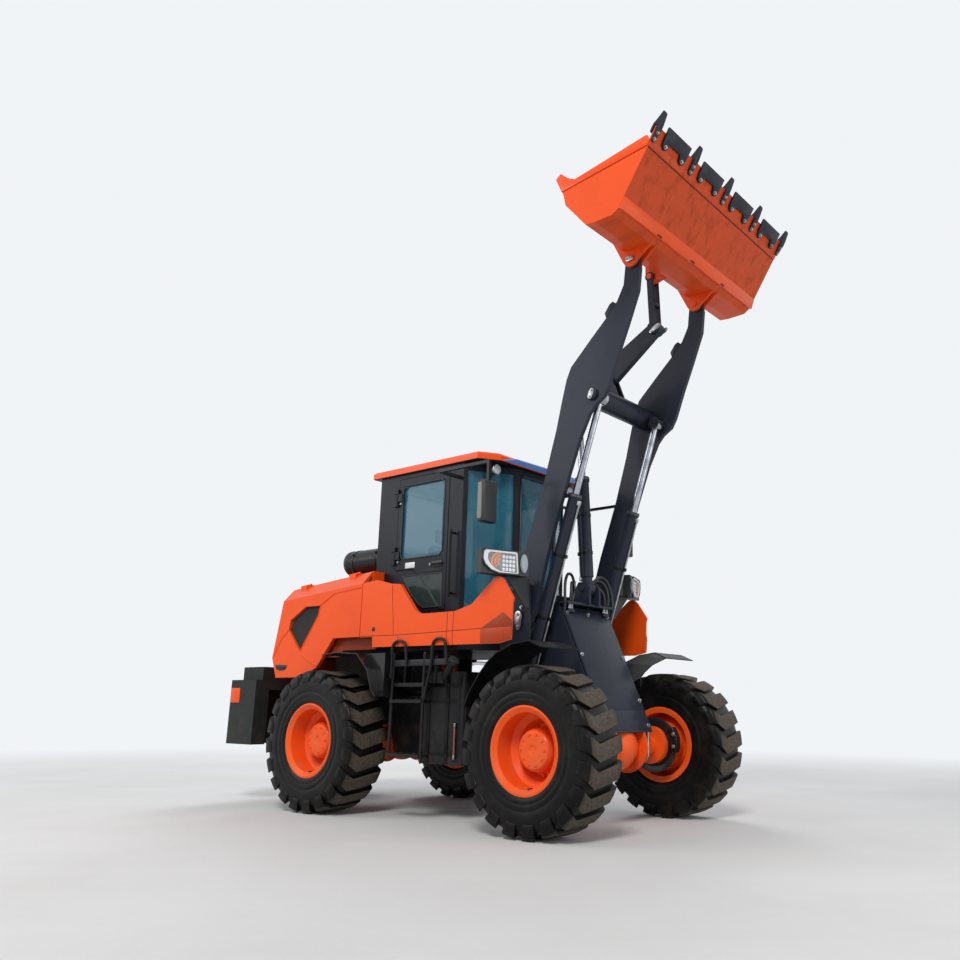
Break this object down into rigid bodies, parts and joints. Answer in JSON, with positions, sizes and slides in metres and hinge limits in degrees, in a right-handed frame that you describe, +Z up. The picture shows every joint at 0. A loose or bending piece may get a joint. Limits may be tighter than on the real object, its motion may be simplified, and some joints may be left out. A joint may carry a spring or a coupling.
{
  "type": "compact articulated wheel loader",
  "caption": "Compact articulated wheel loader with a full cab, Z-linkage boom raised and toothed bucket rolled back.",
  "frame": {"origin": "on the ground under the middle of the overall length and width", "axes": "+X forward to the bucket, +Y to the machine's left, +Z up"},
  "size_m": [5.12, 2.216, 5.1581],
  "materials": {
    "body_orange": "smooth gloss paint",
    "axle_orange": "gloss paint on castings",
    "boom_charcoal": "semi-gloss paint",
    "frame_dark": "semi-gloss paint",
    "weight_grey": "painted casting",
    "cast": "rough casting",
    "cab_dark": "semi-gloss paint",
    "grille_black": "black louvred sheet",
    "black_metal": "semi-gloss paint",
    "black_plastic": "grained moulding",
    "black_trim": "satin paint",
    "lamp_red": "clear moulded lens",
    "lamp_clear": "clear lens in a silver shell",
    "tinted_glass": "clear teal tint",
    "blue_tint": "translucent sheet",
    "seat_fabric": "woven cloth over foam",
    "edge_steel": "rough dark steel",
    "chrome_rod": "polished hard chrome",
    "tyre": "matt rubber with dry dust"
  },
  "bodies": {
    "rear_body": {"rear_frame": "frame_dark", "counterweight": "weight_grey", "engine_block": "cast", "hood": "body_orange", "rear_grille": "grille_black", "rear_lamps": "lamp_red", "cab_frame": "cab_dark", "cab_windows": "tinted_glass", "cab_roof": "body_orange", "sun_visor": "blue_tint", "work_lights": "lamp_clear", "grab_bars": "black_trim", "driver_seat": "seat_fabric", "steering_column": "black_plastic", "air_cleaner": "black_metal", "side_panels": "body_orange", "rear_fenders": "black_plastic", "side_tanks": "black_metal", "access_ladders": "black_metal", "mirrors": "black_plastic", "rear_axle": "axle_orange", "rear_drive_shaft": "black_metal"},
    "front_body": {"front_frame": "boom_charcoal", "headlights": "black_plastic", "front_cover": "boom_charcoal", "front_fenders": "black_plastic", "front_axle": "axle_orange", "front_drive_shaft": "black_metal"},
    "boom": {"boom_arms": "boom_charcoal", "boom_cross_tube": "boom_charcoal"},
    "bucket": {"bucket": "body_orange", "bucket_teeth": "edge_steel", "bolt_on_edges": "edge_steel"},
    "bell_crank": {"bell_crank": "boom_charcoal"},
    "bucket_link": {"bucket_link": "boom_charcoal"},
    "tilt_barrel": {"tilt_barrel": "boom_charcoal"},
    "tilt_rod": {"tilt_rod": "chrome_rod"},
    "front_left_wheel": {"front_left_tyre": "tyre", "front_left_rim": "body_orange"},
    "front_right_wheel": {"front_right_tyre": "tyre", "front_right_rim": "body_orange"},
    "rear_left_wheel": {"rear_left_tyre": "tyre", "rear_left_rim": "body_orange"},
    "rear_right_wheel": {"rear_right_tyre": "tyre", "rear_right_rim": "body_orange"},
    "left_lift_barrel": {"left_lift_barrel": "boom_charcoal"},
    "left_lift_rod": {"left_lift_rod": "chrome_rod"},
    "left_steering_barrel": {"left_steering_barrel": "boom_charcoal"},
    "left_steering_rod": {"left_steering_rod": "chrome_rod"},
    "left_cab_door": {"left_cab_door": "body_orange", "left_door_glass": "tinted_glass"},
    "left_engine_door": {"left_engine_door": "body_orange"},
    "right_lift_barrel": {"right_lift_barrel": "boom_charcoal"},
    "right_lift_rod": {"right_lift_rod": "chrome_rod"},
    "right_steering_barrel": {"right_steering_barrel": "boom_charcoal"},
    "right_steering_rod": {"right_steering_rod": "chrome_rod"},
    "right_cab_door": {"right_cab_door": "body_orange", "right_door_glass": "tinted_glass"},
    "right_engine_door": {"right_engine_door": "body_orange"}
  },
  "joints": [
    {"name": "articulation", "type": "hinge", "parent": "rear_body", "child": "front_body", "pos_m": [0.12003, 0, 0.5875], "axis": [0, 0, 1], "range_deg": [-20, 20]},
    {"name": "front_left_wheel_spin", "type": "hinge", "parent": "front_body", "child": "front_left_wheel", "pos_m": [1.31503, 0.9, 0.5875], "axis": [0, 1, 0], "continuous": true},
    {"name": "front_right_wheel_spin", "type": "hinge", "parent": "front_body", "child": "front_right_wheel", "pos_m": [1.31503, -0.9, 0.5875], "axis": [0, 1, 0], "continuous": true},
    {"name": "rear_left_wheel_spin", "type": "hinge", "parent": "rear_body", "child": "rear_left_wheel", "pos_m": [-1.07497, 0.9, 0.5875], "axis": [0, 1, 0], "continuous": true},
    {"name": "rear_right_wheel_spin", "type": "hinge", "parent": "rear_body", "child": "rear_right_wheel", "pos_m": [-1.07497, -0.9, 0.5875], "axis": [0, 1, 0], "continuous": true},
    {"name": "boom_lift", "type": "hinge", "parent": "front_body", "child": "boom", "pos_m": [0.82003, 0, 1.57], "axis": [0, 1, 0], "range_deg": [0, 97]},
    {"name": "bucket_tilt", "type": "hinge", "parent": "boom", "child": "bucket", "pos_m": [1.89871, 0, 4.38008], "axis": [0, -1, 0], "range_deg": [-90, 40]},
    {"name": "crank_turn", "type": "hinge", "parent": "boom", "child": "bell_crank", "pos_m": [1.27003, 0, 3.69], "axis": [0, -1, 0], "range_deg": [-8.45, 17.77]},
    {"name": "link_turn", "type": "hinge", "parent": "bucket", "child": "bucket_link", "pos_m": [1.75803, 0, 4.478], "axis": [0, -1, 0], "range_deg": [-24.08, 52.92]},
    {"name": "left_lift_barrel_swing", "type": "hinge", "parent": "front_body", "child": "left_lift_barrel", "pos_m": [0.80003, 0.425, 1.12], "axis": [0, 1, 0], "range_deg": [0, 88.07]},
    {"name": "left_lift_rod_slide", "type": "slide", "parent": "left_lift_barrel", "child": "left_lift_rod", "axis": [0.3066, 0, 0.9518], "range_m": [-0.5816, 0]},
    {"name": "right_lift_barrel_swing", "type": "hinge", "parent": "front_body", "child": "right_lift_barrel", "pos_m": [0.80003, -0.425, 1.12], "axis": [0, 1, 0], "range_deg": [0, 88.07]},
    {"name": "right_lift_rod_slide", "type": "slide", "parent": "right_lift_barrel", "child": "right_lift_rod", "axis": [0.3066, 0, 0.9518], "range_m": [-0.5816, 0]},
    {"name": "tilt_barrel_swing", "type": "hinge", "parent": "front_body", "child": "tilt_barrel", "pos_m": [1.07503, 0, 1.84], "axis": [0, 1, 0], "range_deg": [0, 115.1]},
    {"name": "tilt_rod_slide", "type": "slide", "parent": "tilt_barrel", "child": "tilt_rod", "axis": [-0.0641, 0, 0.9979], "range_m": [-0.0905, 0.0413]},
    {"name": "left_steering_barrel_swing", "type": "hinge", "parent": "rear_body", "child": "left_steering_barrel", "pos_m": [-0.30997, 0.23, 0.7], "axis": [0, 0, 1], "range_deg": [-7.79, 7.79]},
    {"name": "left_steering_rod_slide", "type": "slide", "parent": "left_steering_barrel", "child": "left_steering_rod", "axis": [1, 0, 0], "range_m": [-0.0818, 0.0818]},
    {"name": "right_steering_barrel_swing", "type": "hinge", "parent": "rear_body", "child": "right_steering_barrel", "pos_m": [-0.30997, -0.23, 0.7], "axis": [0, 0, 1], "range_deg": [-7.79, 7.79]},
    {"name": "right_steering_rod_slide", "type": "slide", "parent": "right_steering_barrel", "child": "right_steering_rod", "axis": [1, 0, 0], "range_m": [-0.0818, 0.0818]},
    {"name": "right_cab_door_swing", "type": "hinge", "parent": "rear_body", "child": "right_cab_door", "pos_m": [-0.52997, -0.716, 2.4], "axis": [0, 0, -1], "range_deg": [0, 80]},
    {"name": "left_cab_door_swing", "type": "hinge", "parent": "rear_body", "child": "left_cab_door", "pos_m": [-0.52997, 0.716, 2.4], "axis": [0, 0, 1], "range_deg": [0, 80]},
    {"name": "right_engine_door_lift", "type": "hinge", "parent": "rear_body", "child": "right_engine_door", "pos_m": [-1.27997, -0.841, 1.98818], "axis": [-0.9968, 0, -0.0801], "range_deg": [0, 70]},
    {"name": "left_engine_door_lift", "type": "hinge", "parent": "rear_body", "child": "left_engine_door", "pos_m": [-1.27997, 0.841, 1.98818], "axis": [0.9968, 0, 0.0801], "range_deg": [0, 70]}
  ],
  "couplings": [
    {"joint": "crank_turn", "follows": "bucket_tilt", "ratio": -0.18631},
    {"joint": "link_turn", "follows": "bucket_tilt", "ratio": -0.5769},
    {"joint": "left_lift_barrel_swing", "follows": "boom_lift", "ratio": 0.89764},
    {"joint": "left_lift_rod_slide", "follows": "boom_lift", "m_per_rad": -0.34235},
    {"joint": "right_lift_barrel_swing", "follows": "boom_lift", "ratio": 0.89764},
    {"joint": "right_lift_rod_slide", "follows": "boom_lift", "m_per_rad": -0.34235},
    {"joint": "tilt_barrel_swing", "follows": "boom_lift", "ratio": 1.1763},
    {"joint": "tilt_rod_slide", "follows": "bucket_tilt", "m_per_rad": 0.05633},
    {"joint": "left_steering_barrel_swing", "follows": "articulation", "ratio": 0.36446},
    {"joint": "left_steering_rod_slide", "follows": "articulation", "m_per_rad": -0.22858},
    {"joint": "right_steering_barrel_swing", "follows": "articulation", "ratio": 0.36446},
    {"joint": "right_steering_rod_slide", "follows": "articulation", "m_per_rad": 0.22858}
  ]
}
